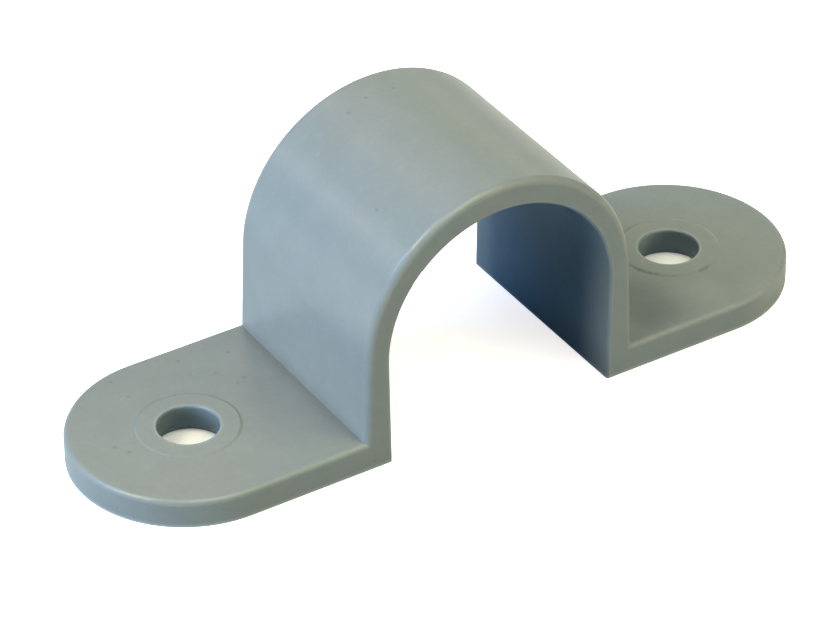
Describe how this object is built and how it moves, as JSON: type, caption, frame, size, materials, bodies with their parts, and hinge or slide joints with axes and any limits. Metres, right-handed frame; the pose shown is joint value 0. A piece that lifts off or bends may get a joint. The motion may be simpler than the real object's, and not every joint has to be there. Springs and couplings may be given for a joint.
{
  "type": "conduit saddle clip",
  "caption": "One-piece moulded saddle clip: a round arch that clamps conduit to a wall, and flat round-ended ears with screw holes.",
  "frame": {"origin": "middle of the mounting face, on the wall between the two legs", "axes": "+X from ear to ear, +Y along the conduit, +Z away from the wall"},
  "size_m": [0.0636, 0.019, 0.0215],
  "materials": {
    "grey_plastic": "satin moulded rigid plastic, cool light grey"
  },
  "bodies": {
    "root": {"saddle_clip": "grey_plastic"}
  },
  "joints": []
}
